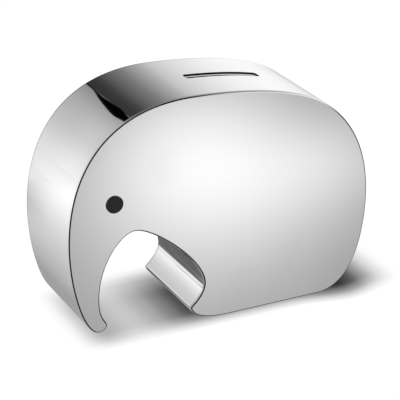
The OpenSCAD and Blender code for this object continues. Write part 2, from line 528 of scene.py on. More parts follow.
def point_object(name, places, vectors=None):
    mesh = bpy.data.meshes.new(name)
    mesh.from_pydata([tuple(p * MM) for p in places], [], [])
    for key, values in (vectors or {}).items():
        attribute = mesh.attributes.new(key, "FLOAT_VECTOR", "POINT")
        attribute.data.foreach_set("vector", [c for v in values for c in v])
    return linked_object(name, mesh)


# ---------------------------------------------------------------- building a piece

class Shell:
    """A piece under construction: faces in millimetres, each corner with its own normal."""

    def __init__(self, materials):
        self.bm = bmesh.new()
        self.normals = self.bm.loops.layers.float_vector.new("corner_normal")
        self.materials = materials

    def face(self, points, normals, finish):
        verts = [self.bm.verts.new(p) for p in points]
        made = self.bm.faces.new(verts)
        made.material_index = finish
        made.smooth = True
        for loop, normal in zip(made.loops, normals):
            loop[self.normals] = normal
        return made

    def carry(self, path, edges, skip=None):
        """Carries a section along a path, leaving out the faces for which skip(station, row) holds."""
        rows = [edge.start for edge in edges] + [edges[-1].end]
        holder = point_object("path", [s.at for s in path], {
            "out": [s.out for s in path], "up": [s.up for s in path]})
        shape = point_object("section", [p.to_3d() for p in rows])
        mesh = evaluated_mesh(holder, carry_tree(), {"Section": shape, "Finish": self.materials[0]})
        bpy.data.objects.remove(shape)
        height = len(rows)
        co = [v.co / MM for v in mesh.vertices]
        for polygon in mesh.polygons:
            indices = list(polygon.vertices)
            first, row = divmod(min(indices), height)
            if skip and skip(first, row):
                continue
            edge = edges[row]
            normals = []
            for index in indices:
                station = path[index // height]
                flat = edge.start_normal if index % height == row else edge.end_normal
                normals.append((station.out * flat.x + station.up * flat.y).normalized())
            self.face([co[i] for i in indices], normals, edge.finish)
        bpy.data.meshes.remove(mesh)
        return [[co[s * height + r] for r in range(height)] for s in range(len(path))]

    def fill(self, loops, normal_at, finish):
        """Fills between an outer loop and its holes, seen along the axis that it faces most."""
        flat = [p for loop in loops for p in loop]
        normal = normal_at(flat[0])
        a, b = sorted(sorted(range(3), key=lambda i: abs(normal[i]))[:2])
        for triangle in tessellate_polygon([[Vector((p[a], p[b], 0)) for p in loop] for loop in loops]):
            points = [flat[i] for i in triangle]
            self.face(points, [normal_at(p) for p in points], finish)

    def bridge(self, first, second, normal_of, finish):
        """Quads between two lines with the same number of points."""
        for i in range(len(first) - 1):
            points = [first[i], first[i + 1], second[i + 1], second[i]]
            self.face(points, [normal_of(p) for p in points], finish)

    def finish(self, name):
        """Welds the shell, turns each face to its normals and makes it an object."""
        bm = self.bm
        bmesh.ops.remove_doubles(bm, verts=bm.verts[:], dist=2e-4)
        dead = [f for f in bm.faces if f.calc_area() < 1e-7]
        bmesh.ops.delete(bm, geom=dead, context="FACES_ONLY")
        bm.normal_update()
        for face in bm.faces:
            wanted = sum((loop[self.normals] for loop in face.loops), Vector())
            if face.normal.dot(wanted) < 0:
                face.normal_flip()
        bmesh.ops.scale(bm, vec=(MM, MM, MM), verts=bm.verts[:])
        mesh = bpy.data.meshes.new(name)
        bm.to_mesh(mesh)
        bm.free()
        for material in self.materials:
            mesh.materials.append(material)
        layer = mesh.attributes["corner_normal"]
        values = [0.0] * (3 * len(mesh.loops))
        layer.data.foreach_get("vector", values)
        mesh.attributes.remove(layer)
        corners = [values[i:i + 3] for i in range(0, len(values), 3)]
        mesh.normals_split_custom_set(corners)
        return linked_object(name, mesh)


def stands_for(made, body, node):
    """Puts a piece on its body in the place of a CAD node, which is hidden."""
    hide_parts(node)
    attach(made, body)


def facing(normal):
    return lambda point: normal


def circle_points(centre, radius, first, second, steps):
    turns = [2 * math.pi * i / steps for i in range(steps)]
    return [centre + radius * (math.cos(t) * first + math.sin(t) * second) for t in turns]


# ---------------------------------------------------------------- materials

def noise_node(tree, vector, scale, detail):
    return put(tree, "ShaderNodeTexNoise", {
        "Vector": vector, "Scale": scale, "Detail": detail}).outputs["Fac"]


def ranged(tree, value, low, high, to_low=0.0, to_high=1.0, smooth=False):
    """A value between two limits, as a value between two others."""
    return put(
        tree, "ShaderNodeMapRange",
        {"Value": value, "From Min": low, "From Max": high, "To Min": to_low, "To Max": to_high},
        clamp=True, interpolation_type="SMOOTHSTEP" if smooth else "LINEAR").outputs["Result"]


def mixed(tree, factor, first, second):
    """A colour between two others, each a socket or a colour."""
    ends = [c if isinstance(c, bpy.types.NodeSocket) else (*c, 1) for c in (first, second)]
    return put(
        tree, "ShaderNodeMix", {0: factor, 6: ends[0], 7: ends[1]}, data_type="RGBA").outputs[2]


def toned(tree, factor, tone, first, second):
    """A colour between two multiples of one colour."""
    return mixed(tree, factor, [first * c for c in tone], [second * c for c in tone])


def axes(tree, vector):
    return put(tree, "ShaderNodeSeparateXYZ", {0: vector}).outputs


@shared_tree("Polishing marks")
def polish_group(name):
    """Fine parallel marks left by the polishing wheel, with smudges from handling."""
    tree, given, result = new_tree(
        name, "ShaderNodeTree",
        (("Vector", "Vector"), ("Fineness", "Float", 60.0), ("Smudge Size", "Float", 25.0)),
        (("Height", "Float"), ("Marks", "Float"), ("Smudges", "Float")))
    stretch = put(tree, "ShaderNodeMapping", {"Scale": (6, 60, 60), "Vector": given["Vector"]})
    lines = noise_node(tree, stretch.outputs[0], given["Fineness"], 2)
    patches = noise_node(tree, given["Vector"], given["Smudge Size"], 4)
    give(tree, lines, result["Height"])
    give(tree, ranged(tree, lines, 0.35, 0.7), result["Marks"])
    give(tree, ranged(tree, patches, 0.52, 0.72, smooth=True), result["Smudges"])
    return tree


@shared_tree("Seam line")
def seam_group(name):
    """A fine dark line where two sheets meet at a given distance from the body's middle."""
    tree, given, result = new_tree(
        name, "ShaderNodeTree",
        (("Vector", "Vector"), ("Place", "Float", PLATE_INNER_Y * MM),
         ("Half Width", "Float", 0.03 * MM)),
        (("Line", "Float"),))
    away = math_node(tree, "ABSOLUTE", axes(tree, given["Vector"])["Y"])
    off = math_node(tree, "ABSOLUTE", math_node(tree, "SUBTRACT", away, given["Place"]))
    wide = math_node(tree, "MULTIPLY", given["Half Width"], 1.6)
    give(tree, ranged(tree, off, given["Half Width"], wide, 1.0, 0.0, smooth=True), result["Line"])
    return tree


@shared_tree("Grain and dust")
def grain_group(name):
    """Fine moulded or worn grain, with patches of dust."""
    tree, given, result = new_tree(
        name, "ShaderNodeTree",
        (("Vector", "Vector"), ("Grain Scale", "Float", 2500.0), ("Dust Scale", "Float", 120.0)),
        (("Height", "Float"), ("Dust", "Float")))
    patches = noise_node(tree, given["Vector"], given["Dust Scale"], 5)
    give(tree, noise_node(tree, given["Vector"], given["Grain Scale"], 3), result["Height"])
    give(tree, ranged(tree, patches, 0.45, 0.75, smooth=True), result["Dust"])
    return tree


def add_group(tree, group, vector, **values):
    """The outputs of a shader group placed in a material with its own values."""
    inputs = {key.replace("_", " "): value for key, value in values.items()}
    return put(
        tree, "ShaderNodeGroup", {"Vector": vector, **inputs}, node_tree=group).outputs


def bump(tree, height, strength, distance):
    return put(tree, "ShaderNodeBump", {
        "Strength": strength, "Distance": distance, "Height": height}).outputs[0]


SEAM_COLOUR = (0.012, 0.012, 0.013)


def polished_steel(tree, vector, finish):
    """Mirror-polished stainless sheet, with a dark line along each seam."""
    polish = add_group(tree, polish_group(), vector)
    seam = add_group(tree, seam_group(), vector)["Line"]
    surface_tone = toned(tree, polish["Smudges"], finish.steel, 1.0, 0.965)
    rough = finish.mirror_roughness
    marked = ranged(tree, polish["Marks"], 0, 1, rough * 0.85, rough * 1.2)
    smudged = math_node(tree, "MULTIPLY_ADD", polish["Smudges"], rough * 0.6, marked)
    return {
        "Base Color": mixed(tree, seam, surface_tone, SEAM_COLOUR),
        "Roughness": math_node(tree, "MULTIPLY_ADD", seam, 0.55, smudged),
        "Metallic": 1,
        "Normal": bump(tree, polish["Height"], 0.012, 0.006 * MM),
    }


def satin_steel(tree, vector, finish):
    """The unpolished inner side of the sheet and the walls of the coin slot."""
    polish = add_group(tree, polish_group(), vector, Fineness=40.0, Smudge_Size=40.0)
    return {
        "Base Color": toned(tree, polish["Smudges"], finish.steel, 0.62, 0.48),
        "Roughness": ranged(tree, polish["Marks"], 0, 1, 0.28, 0.42),
        "Metallic": 1,
        "Normal": bump(tree, polish["Height"], 0.25, 0.05 * MM),
    }


def sheared_steel_and_painted_shade(tree, vector, finish):
    """The sheared edge of the sheet, with a fine tear texture. Its near-black colour is painted
    shade: it draws the dark lines along the plates' rounded edges and inside the coin slot. Along
    the rims at the top of the back it carries a painted highlight instead."""
    polish = add_group(tree, polish_group(), vector, Fineness=110.0, Smudge_Size=80.0)
    seam = add_group(tree, seam_group(), vector)["Line"]
    x, y, z = axes(tree, vector)
    # Painted highlight, lighter and smoother, along the rims at the top of the back.
    painted_back_highlight = math_node(
        tree, "MULTIPLY", ranged(tree, x, -0.020, 0.010, smooth=True),
        ranged(tree, z, 0.084, 0.096, smooth=True))
    off_centre = ranged(tree, math_node(tree, "ABSOLUTE", y), 0.018, 0.020)
    painted_back_highlight = math_node(tree, "MULTIPLY", painted_back_highlight, off_centre)
    surface_tone = toned(tree, polish["Smudges"], finish.cut_edge_and_shade, 1.0, 1.5)
    surface_tone = mixed(tree, painted_back_highlight, surface_tone, [0.9 * c for c in finish.steel])
    rough = ranged(tree, polish["Marks"], 0, 1, 0.22, 0.36)
    return {
        "Base Color": mixed(tree, seam, surface_tone, SEAM_COLOUR),
        "Roughness": math_node(tree, "MULTIPLY_ADD", painted_back_highlight, -0.15, rough),
        "Metallic": 1,
        "Normal": bump(tree, polish["Height"], 0.3, 0.04 * MM),
    }


def drawn_steel(tree, vector, finish):
    """Plain drawn steel, used for the seat and the washers."""
    polish = add_group(tree, polish_group(), vector, Fineness=50.0, Smudge_Size=60.0)
    grain = add_group(tree, grain_group(), vector, Grain_Scale=1800.0, Dust_Scale=150.0)
    return {
        "Base Color": toned(tree, polish["Smudges"], finish.drawn_steel, 1.0, 0.72),
        "Roughness": ranged(tree, polish["Marks"], 0, 1, 0.26, 0.4),
        "Metallic": 1,
        "Normal": bump(tree, grain["Height"], 0.2, 0.05 * MM),
    }


def black_rubber(tree, vector, finish):
    """Moulded rubber with a fine matt grain and a little dust."""
    grain = add_group(tree, grain_group(), vector, Grain_Scale=2200.0, Dust_Scale=140.0)
    dust = math_node(tree, "MULTIPLY", grain["Dust"], 0.5)
    return {
        "Base Color": toned(tree, dust, finish.rubber, 1.0, 3.2),
        "Roughness": ranged(tree, grain["Dust"], 0, 1, 0.48, 0.68),
        "Normal": bump(tree, grain["Height"], 0.35, 0.12 * MM),
    }


def eye_plastic(tree, vector, finish):
    """Glossy black plastic with a faint grain."""
    grain = add_group(tree, grain_group(), vector, Grain_Scale=1500.0, Dust_Scale=220.0)
    return {
        "Base Color": toned(tree, grain["Dust"], finish.eye, 1.0, 2.0),
        "Roughness": ranged(tree, grain["Dust"], 0, 1, 0.12, 0.2),
        "IOR": 1.36,
        "Normal": bump(tree, grain["Height"], 0.05, 0.03 * MM),
    }


FINISHES = {}
POLISHED = 0
SATIN = 1
SHEARED_AND_SHADED = 2


def finishes(*makers):
    """Materials for a piece, each made the first time that a piece asks for it."""
    for maker in makers:
        if maker not in FINISHES:
            material = bpy.data.materials.new("finish_" + maker.__name__)
            material.use_nodes = True
            tree = material.node_tree
            place = put(tree, "ShaderNodeTexCoord").outputs["Object"]
            values = maker(tree, place, bpy.context.scene.bank_finish)
            for key, value in values.items():
                give(tree, value, tree.nodes["Principled BSDF"].inputs[key])
            FINISHES[maker] = material
    return [FINISHES[maker] for maker in makers]


def sheet_materials():
    return finishes(polished_steel, satin_steel, sheared_steel_and_painted_shade)


# ---------------------------------------------------------------- pieces

class BANK_OT_side_plates(bpy.types.Operator):
    """Build the two flat side plates, each with its rounded edge and the hole for its eye"""

    bl_idname = "coin_bank.side_plates"
    bl_label = "Side Plates"

    def execute(self, context):
        sizes = context.scene.bank_sizes
        edge = sizes.plate_edge / MM
        seam = sizes.seam_edge / MM
        back, arch = outline()
        line = back + arch[1:]
        # The middle of each rounded edge takes the near-black sheared finish: a painted dark line round
        # the plate.
        rim = section((
            (edge * 1.5, PLATE_FACE_Y, 0, POLISHED),
            (0, PLATE_FACE_Y, edge, POLISHED),
            (0, PLATE_INNER_Y, seam, SATIN),
            (seam * 2, PLATE_INNER_Y, 0, SATIN),
        ), closed=False, round_steps=8, painted_shade_arc=(SHEARED_AND_SHADED, 1 / 8, 5 / 8))
        wall = section((
            (SHANK_HOLE_RADIUS, PLATE_FACE_Y, 0, SHEARED_AND_SHADED), (SHANK_HOLE_RADIUS, PLATE_INNER_Y),
        ), closed=False)
        for side, name, node in (
            (LEFT, "polished_left_plate", "left_side_plate"),
            (RIGHT, "polished_right_plate", "right_side_plate"),
        ):
            shell = Shell(sheet_materials())
            skin = shell.carry(outline_path(line, side), rim)
            for row, height, finish, way in (
                (0, PLATE_FACE_Y, POLISHED, 1), (-1, PLATE_INNER_Y, SATIN, -1)
            ):
                ring = [rows[row] for rows in skin[:-1]]
                centre = Vector((EYE_X, side * height, EYE_Z))
                hole = circle_points(centre, SHANK_HOLE_RADIUS, X_AXIS, Z_AXIS, HOLE_STEPS)
                shell.fill([ring, hole], facing(way * side * Y_AXIS), finish)
            middle = Vector((EYE_X, 0, EYE_Z))
            shell.carry(circle_path(middle, X_AXIS, Z_AXIS, side * Y_AXIS, HOLE_STEPS), wall)
            stands_for(shell.finish(name), "bank", node)
        return {"FINISHED"}


def band_section(seam, rows=()):
    """A band's section: depth into the body, then place across it. Rows are extra grid lines."""
    w = BAND_HALF_WIDTH
    t = BAND_THICKNESS
    inner = [(t, y, 0, SATIN) for y in sorted(rows)]
    outer = [(0, y, 0, POLISHED) for y in sorted(rows, reverse=True)]
    return section((
        (0, -w, seam, SHEARED_AND_SHADED), (t, -w, 0, SATIN), *inner,
        (t, w, 0, SHEARED_AND_SHADED), (0, w, seam, POLISHED), *outer,
    ))


def close_ends(shell, skin, path, finish=SHEARED_AND_SHADED):
    """Closes the two ends of a piece that was carried along a path."""
    for end, before in ((0, 1), (-1, -2)):
        way = (path[end].at - path[before].at).normalized()
        shell.fill([skin[end][:-1]], facing(way), finish)


class BANK_OT_arch_band(bpy.types.Operator):
    """Build the band that lines the arch between the trunk and the leg"""

    bl_idname = "coin_bank.arch_band"
    bl_label = "Arch Band"

    def execute(self, context):
        seam = context.scene.bank_sizes.seam_edge / MM
        _, arch = outline()
        path = outline_path(arch)
        shell = Shell(sheet_materials())
        skin = shell.carry(path, band_section(seam))
        close_ends(shell, skin, path)
        stands_for(shell.finish("polished_arch_band"), "bank", "arch_band")
        return {"FINISHED"}


class BANK_OT_back_band(bpy.types.Operator):
    """Build the band round the back and trunk, with the coin slot and the hole in its base"""

    bl_idname = "coin_bank.back_band"
    bl_label = "Back Band"

    def execute(self, context):
        sizes = context.scene.bank_sizes
        seam = sizes.seam_edge / MM
        roll = sizes.slot_roll / MM
        back, _ = outline()
        path = outline_path(back)
        row_y = SLOT_HALF_WIDTH + roll + SLOT_CLEARANCE
        edges = band_section(seam, rows=(-row_y, row_y))
        reach_x = SLOT_HALF_LENGTH + roll + SLOT_CLEARANCE
        on_top = [i for i, s in enumerate(path) if s.at.z > 90]
        cut = [i for i in on_top if abs(path[i].at.x - SLOT_CENTRE_X) < reach_x]
        cut = [cut[0] - 1, *cut, cut[-1] + 1]
        flat = next(
            i for i in range(len(path) - 1)
            if path[i].at.z < 1e-6 and path[i + 1].at.z < 1e-6
            and path[i + 1].at.x - path[i].at.x > 20
        )
        sheet_rows = [i for i, e in enumerate(edges) if abs(e.start.y - e.end.y) > 1]
        slot_rows = [
            i for i in sheet_rows
            if abs(edges[i].start.y + edges[i].end.y) < 1e-6 and abs(edges[i].start.y) < row_y + 0.01
        ]

        def skip(station, row):
            if station == flat:
                return row in sheet_rows
            return cut[0] <= station < cut[-1] and row in slot_rows

        shell = Shell(sheet_materials())
        skin = shell.carry(path, edges, skip)
        close_ends(shell, skin, path)
        self.slot(shell, path, cut, skin, slot_rows, roll)
        self.base(shell, skin, flat, sheet_rows)
        stands_for(shell.finish("polished_back_band"), "bank", "back_band")
        return {"FINISHED"}

    def slot(self, shell, path, cut, skin, slot_rows, roll):
        """The rolled-in lip, and the collars that join it to both faces of the sheet."""
        straight = SLOT_HALF_LENGTH - SLOT_CORNER
        stations = [i for i in cut if abs(path[i].at.x - SLOT_CENTRE_X) < straight - 0.05]
        xs = [path[i].at.x - SLOT_CENTRE_X for i in stations]
        count = len(xs)
        front = self.plan_end(-1)
        turned = len(front)
        plan = [(x, SLOT_HALF_WIDTH, 0.0, 1.0) for x in xs] + front
        plan += [(x, -SLOT_HALF_WIDTH, 0.0, -1.0) for x in reversed(xs)] + self.plan_end(1)
        lip_path = []
        for x, y, out_x, out_y in plan:
            z, normal = top_at(x + SLOT_CENTRE_X)
            slope = -normal.x / normal.z
            out = Vector((out_x, out_y, out_x * slope))
            lip_path.append(Station(Vector((x + SLOT_CENTRE_X, y, z)), out, Z_AXIS))
        lip_path.append(lip_path[0])
        # The rolled edge, the wall and the lip's lower corners take the near-black sheared finish:
        # painted shade inside the slot. Only a strip in the hollow stays polished.
        lip = section((
            (roll * 2, 0, 0, POLISHED),
            (0, 0, roll, SHEARED_AND_SHADED),
            (0, -roll - 0.05, 0, SHEARED_AND_SHADED),
            (LIP_HOLLOW, -LIP_HOLLOW_TOP, 0, POLISHED),
            (0, -LIP_HOLLOW_FOOT, 0, SHEARED_AND_SHADED),
            (0, -LIP_DEPTH, 0.2, SATIN),
            (LIP_THICKNESS, -LIP_DEPTH, 0.2, SATIN),
            (LIP_THICKNESS, -BAND_THICKNESS, 0, SATIN),
        ), closed=False, round_steps=8, painted_shade_arc=(SHEARED_AND_SHADED, 0, 1))
        lip_skin = shell.carry(lip_path, lip[1:])
        for row, lip_row, finish, way in (
            (slot_rows[1], 0, POLISHED, 1), (slot_rows[0], -1, SATIN, -1)
        ):
            edge_a, edge_b = (
                {i: skin[i][r] for i in range(cut[0], cut[-1] + 1)} for r in (row, row + 1))
            if edge_a[cut[0]].y < 0:
                edge_a, edge_b = edge_b, edge_a
            ring = [rows[lip_row] for rows in lip_skin[:-1]]

            def normal_at(p, way=way):
                return way * top_at(p.x)[1]

            left = ring[:count]
            right = ring[count + turned: 2 * count + turned][::-1]
            shell.bridge(left, [edge_a[i] for i in stations], normal_at, finish)
            shell.bridge(right, [edge_b[i] for i in stations], normal_at, finish)
            beyond = range(stations[-1], cut[-1] + 1)
            loop = [edge_a[i] for i in beyond] + [edge_b[i] for i in reversed(beyond)]
            shell.fill([loop + ring[count - 1: count + turned + 1][::-1]], normal_at, finish)
            before = range(cut[0], stations[0] + 1)
            loop = [edge_b[i] for i in reversed(before)] + [edge_a[i] for i in before]
            loop += (ring[2 * count + turned - 1:] + ring[:1])[::-1]
            shell.fill([loop], normal_at, finish)

    @staticmethod
    def plan_end(end, steps=6):
        """One rounded end of the slot in plan: place and outward direction of each point."""
        found = []
        first = 90 if end < 0 else 270
        for quarter in range(2):
            for i in range(steps + 1):
                angle = first + 90 * quarter + 90 * i / steps
                way = heading(angle)
                sign_y = 1 if way.y > 0.0 else -1
                if abs(way.y) < 1e-9:
                    sign_y = (1 if end < 0 else -1) * (1 if quarter == 0 else -1)
                x = end * (SLOT_HALF_LENGTH - SLOT_CORNER) + SLOT_CORNER * way.x
                y = sign_y * (SLOT_HALF_WIDTH - SLOT_CORNER) + SLOT_CORNER * way.y
                found.append((x, y, way.x, way.y))
        return found

    def base(self, shell, skin, flat, sheet_rows):
        """The flat base with the round hole that takes the stopper's seat."""
        rings = []
        for height, low in ((0.0, True), (BAND_THICKNESS, False)):
            rows = [r for r in sheet_rows if abs(skin[flat][r].z - height) < 1e-3]
            ends = sorted({r for row in rows for r in (row, row + 1)})
            front = [skin[flat][r] for r in ends]
            rear = [skin[flat + 1][r] for r in reversed(ends)]
            centre = Vector((BASE_CENTRE_X, 0, height))
            hole = circle_points(centre, BASE_HOLE_RADIUS, X_AXIS, Y_AXIS, 2 * HOLE_STEPS)
            way = -Z_AXIS if low else Z_AXIS
            shell.fill([front + rear, hole], facing(way), POLISHED if low else SATIN)
            rings.append(hole + hole[:1])

        def into_hole(point):
            away = Vector((BASE_CENTRE_X - point.x, -point.y, 0))
            return away.normalized()

        shell.bridge(rings[0], rings[1], into_hole, SHEARED_AND_SHADED)


class BANK_OT_seat(bpy.types.Operator):
    """Build the flanged seat that the stopper fits in"""

    bl_idname = "coin_bank.seat"
    bl_label = "Stopper Seat"

    def execute(self, context):
        centre = Vector((BASE_CENTRE_X, 0, 0))
        round_edge = 0.2
        flange_top = BAND_THICKNESS + 1.0
        profile = section((
            (SEAT_BORE_RADIUS, SEAT_BOTTOM, round_edge), (SEAT_RADIUS, SEAT_BOTTOM, round_edge),
            (SEAT_RADIUS, BAND_THICKNESS), (FLANGE_RADIUS, BAND_THICKNESS),
            (FLANGE_RADIUS, flange_top, round_edge), (SEAT_RADIUS, flange_top),
            (SEAT_RADIUS, SEAT_TOP, round_edge), (SEAT_BORE_RADIUS, SEAT_TOP, round_edge),
        ))
        shell = Shell(finishes(drawn_steel))
        shell.carry(circle_path(centre, X_AXIS, Y_AXIS, Z_AXIS, 128), profile)
        stands_for(shell.finish("drawn_stopper_seat"), "bank", "stopper_seat")
        return {"FINISHED"}


class BANK_OT_stopper(bpy.types.Operator):
    """Build the rubber stopper with its sealing ribs, finger dish and grip bar"""

    bl_idname = "coin_bank.stopper"
    bl_label = "Rubber Stopper"

    def execute(self, context):
        soft = context.scene.bank_sizes.rubber_edge / MM
        centre = Vector((BASE_CENTRE_X, 0, STOPPER_BOTTOM))
        core = STOPPER_RADIUS - GROOVE_DEPTH
        pitch = (STOPPER_HEIGHT - STOPPER_HEAD) / (RIB_COUNT + 1)
        rim = [
            (0, DISH_DEPTH), (DISH_RADIUS, DISH_DEPTH, soft * 3), (DISH_RADIUS, 0, soft * 2),
            (STOPPER_RADIUS, 0, GROOVE_DEPTH / 2), (STOPPER_RADIUS, STOPPER_HEAD, soft),
            (core, STOPPER_HEAD + 0.1),
        ]
        for i in range(RIB_COUNT):
            low = STOPPER_HEAD + (i + 0.7) * pitch
            rim += [
                (core, low - RIB_WIDTH), (STOPPER_RADIUS, low, soft * 0.6),
                (STOPPER_RADIUS, low + RIB_WIDTH, soft * 0.6), (core, low + 2 * RIB_WIDTH),
            ]
        rim += [(core, STOPPER_HEIGHT, soft * 2), (0, STOPPER_HEIGHT)]
        shell = Shell(finishes(black_rubber))
        shell.carry(circle_path(centre, X_AXIS, Y_AXIS, Z_AXIS, 128), section(rim, closed=False))
        self.bar(shell, soft)
        stands_for(shell.finish("moulded_stopper"), "stopper", "stopper")
        return {"FINISHED"}

    def bar(self, shell, soft):
        """The grip bar across the dish, rooted in the dish's wall and floor."""
        half = DISH_RADIUS + 0.6
        root = DISH_DEPTH + 0.4
        shape = section((
            (-BAR_HALF_WIDTH, root), (-BAR_HALF_WIDTH, BAR_BOTTOM, soft * 3),
            (BAR_HALF_WIDTH, BAR_BOTTOM, soft * 3), (BAR_HALF_WIDTH, root),
        ))
        path = [
            Station(Vector((BASE_CENTRE_X, y, STOPPER_BOTTOM)), X_AXIS, Z_AXIS)
            for y in (-half, half)
        ]
        skin = shell.carry(path, shape)
        close_ends(shell, skin, path, 0)


class BANK_OT_eyes(bpy.types.Operator):
    """Build the two glossy eyes and the washers that hold them"""

    bl_idname = "coin_bank.eyes"
    bl_label = "Eyes and Washers"

    def execute(self, context):
        sizes = context.scene.bank_sizes
        edge = sizes.eye_edge / MM
        inner = -PLATE_THICKNESS - WASHER_THICKNESS - SHANK_END
        eye = section((
            (0, inner), (SHANK_RADIUS, inner, 0.3), (SHANK_RADIUS, 0),
            (EYE_RADIUS, 0), (EYE_RADIUS, EYE_HEIGHT, edge), (0, EYE_HEIGHT),
        ), closed=False, round_steps=8)
        for side, word in ((LEFT, "left"), (RIGHT, "right")):
            centre = Vector((EYE_X, side * PLATE_FACE_Y, EYE_Z))
            path = circle_path(centre, X_AXIS, Z_AXIS, side * Y_AXIS, 96)
            shell = Shell(finishes(eye_plastic))
            shell.carry(path, eye)
            stands_for(shell.finish(f"glossy_{word}_eye"), "bank", f"{word}_eye")
            self.washer(side, word, sizes.washer_tabs)
        return {"FINISHED"}

    def washer(self, side, word, tabs):
        """A push-on washer: a ring with spring tabs that grip the eye's shank."""
        ring = section((
            (WASHER_BORE, 0), (WASHER_RADIUS, 0, WASHER_EDGE),
            (WASHER_RADIUS, WASHER_THICKNESS, WASHER_EDGE), (WASHER_BORE, WASHER_THICKNESS),
        ))
        plate = PLATE_INNER_Y - WASHER_THICKNESS
        centre = Vector((EYE_X, side * plate, EYE_Z))
        shell = Shell(finishes(drawn_steel))
        shell.carry(circle_path(centre, X_AXIS, Z_AXIS, side * Y_AXIS, 72), ring)
        half = math.radians(0.36 * 360 / tabs)
        outer, bore = WASHER_BORE + 0.15, SHANK_HOLE_RADIUS + 0.02
        corners = []
        for radius in (bore, outer):
            for turn in (-half, half):
                for lift in (TAB_BOTTOM, TAB_BOTTOM + TAB_THICKNESS):
                    way = Vector((math.cos(turn), 0, math.sin(turn)))
                    corners.append(radius * way + side * lift * Y_AXIS)
        mesh = bpy.data.meshes.new("tab")
        quads = ((0, 1, 3, 2), (4, 6, 7, 5), (0, 4, 5, 1), (2, 3, 7, 6), (1, 5, 7, 3), (0, 2, 6, 4))
        mesh.from_pydata([tuple(c * MM) for c in corners], [], quads)
        holder = linked_object("tab", mesh)
        made = evaluated_mesh(holder, tabs_tree(), {"Count": tabs, "Finish": shell.materials[0]})
        for polygon in made.polygons:
            points = [made.vertices[i].co / MM + centre for i in polygon.vertices]
            normal = polygon.normal.copy()
            middle = sum(points, Vector()) / len(points)
            turn_centre = self.tab_centre(middle, centre, tabs, (outer + bore) / 2, side)
            if normal.dot(middle - turn_centre) < 0:
                normal.negate()
            shell.face(points, [normal] * len(points), 0)
        bpy.data.meshes.remove(made)
        stands_for(shell.finish(f"push_on_{word}_washer"), "bank", f"{word}_eye_washer")

    @staticmethod
    def tab_centre(middle, centre, tabs, radius, side):
        away = middle - centre
        pitch = 2 * math.pi / tabs
        turn = round(math.atan2(away.z, away.x) / pitch) * pitch
        lift = side * (TAB_BOTTOM + TAB_THICKNESS / 2)
        return centre + Vector((radius * math.cos(turn), lift, radius * math.sin(turn)))


# ---------------------------------------------------------------- stage

CAMERA_PLACE = (-0.3223, -0.6469, 0.3670)
CAMERA_TURN = (math.radians(66.08), 0, math.radians(-26.53))
CAMERA_LENS = 160.15
CAMERA_SENSOR = 36.0
FLOOR_HALF_SIZE = 6.0
FLOOR_LIGHT = 1.03
LAMP_SIZE = 0.55
LAMP_ENERGY = 26
LAMP_HEIGHT = 1.6
DARK_PANEL = (0.001, 0.001, 0.001)
SIDE_LIGHT = (0.7, 0.7, 0.7)
SOFT_LIGHT = (0.62, 0.62, 0.62)

# Brightness of the studio round the body, by angle round the side-to-side axis: 0 is level
# to the rear, 90 overhead, 180 level to the front. Display values from 0 to 255.
STUDIO_RING = (
    (2, 244), (10, 247), (18, 244), (24, 238), (30, 225), (34, 212), (42, 178), (50, 151),
    (58, 123), (66, 102), (78, 66), (84, 54), (91.6, 52), (92.1, 145), (96, 151), (102.0, 161),
    (108, 173), (120, 190), (132, 200), (144, 208), (156, 220), (168, 233), (180, 241),
    (189, 247), (206, 243), (222, 222), (330, 203), (341, 218), (356, 241),
)
# Where the dark overhead panel starts and ends, in the same degrees, by how far the light
# travels sideways, and how soft its sides are.
PANEL_START = (
    (0.849, 92.4), (0.8515, 91.8), (0.853, 90.2), (0.8545, 89.8), (0.858, 91.2), (0.8605, 92.0),
    (0.8635, 91.0), (0.866, 90.3),
)
PANEL_END = (
    (0.849, 97.4), (0.8525, 99.7), (0.8545, 101.1), (0.8565, 100.5), (0.8595, 98.1),
    (0.8615, 95.9), (0.864, 92.1), (0.866, 91.8),
)
PANEL_LOW = 85
PANEL_SPAN = 20
PANEL_SOFT = 0.35
MIRROR = 0.9                    # share of light that the polished steel gives back


def linear(level):
    """Scene light for a display level from 0 to 255."""
    share = level / 255
    if share <= 0.04045:
        return share / 12.92
    return ((share + 0.055) / 1.055) ** 2.4


def value_ramp(tree, value, stops, smooth=False):
    """A number that changes along another, from pairs of place and number."""
    low, high = stops[0][0], stops[-1][0]
    ramp = put(tree, "ShaderNodeValToRGB", {"Fac": ranged(tree, value, low, high)})
    if smooth:
        ramp.color_ramp.interpolation = "CARDINAL"
    elements = ramp.color_ramp.elements
    elements.remove(elements[1])
    for i, (place, number) in enumerate(stops):
        share = (place - low) / (high - low)
        element = elements.new(share) if i else elements[0]
        element.position = share
        element.color = (number, number, number, 1)
    return ramp.outputs["Color"]


def grey_ramp(tree, value, stops):
    """Light for the mirrors along a value, from pairs of place and display level."""
    return value_ramp(tree, value, [(place, linear(level) / MIRROR) for place, level in stops])


def with_tree(block):
    """The node tree of a new world or material, empty, with short ways to add to it."""
    block.use_nodes = True
    block.node_tree.nodes.clear()
    tools = (put, math_node, ranged, mixed)
    return block.node_tree, *(partial(tool, block.node_tree) for tool in tools)


